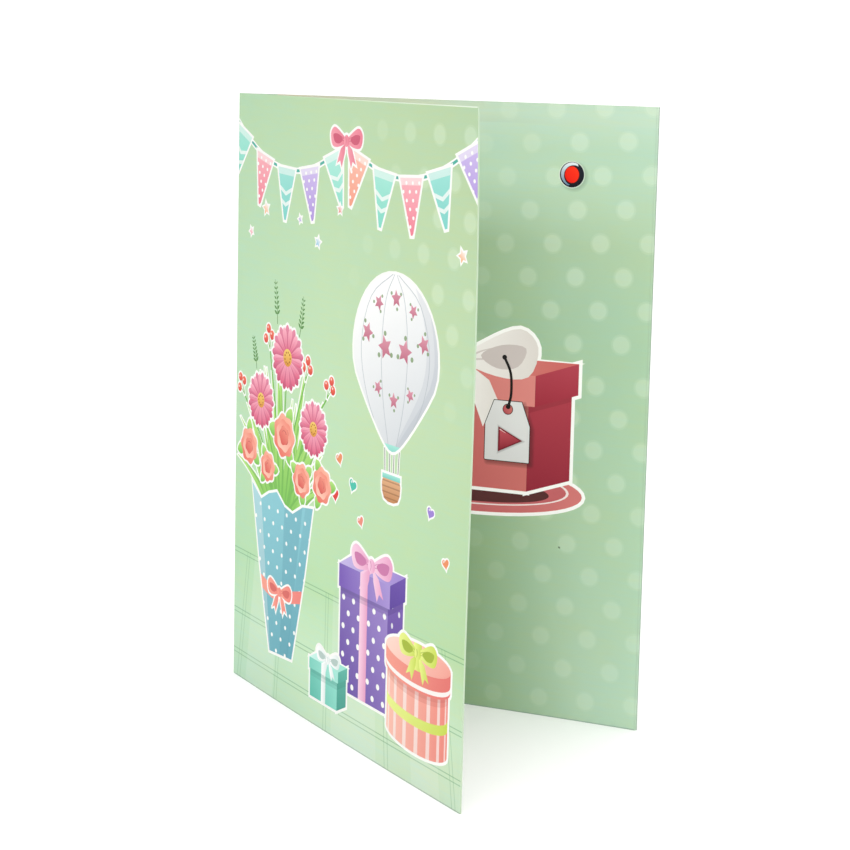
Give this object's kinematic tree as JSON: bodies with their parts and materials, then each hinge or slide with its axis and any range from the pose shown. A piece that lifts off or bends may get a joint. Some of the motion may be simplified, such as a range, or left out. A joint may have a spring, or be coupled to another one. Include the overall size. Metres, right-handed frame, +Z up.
{
  "type": "recordable greeting card",
  "caption": "Folded greeting card standing half open, with an inner flap glued over the back cover and a sealed sound module held between them.",
  "frame": {"origin": "foot of the spine fold, in the middle of the sheet's thickness, on the surface that the card stands on", "axes": "+Z up along the spine fold, the covers open towards -Y, the front cover on the -X side"},
  "size_m": [0.081, 0.1219, 0.1778],
  "materials": {
    "printed_card": "matt coated card, printed in soft green",
    "sound_unit": "satin"
  },
  "bodies": {
    "root": {"folded_card": "printed_card", "sound_module": "sound_unit"}
  },
  "joints": []
}
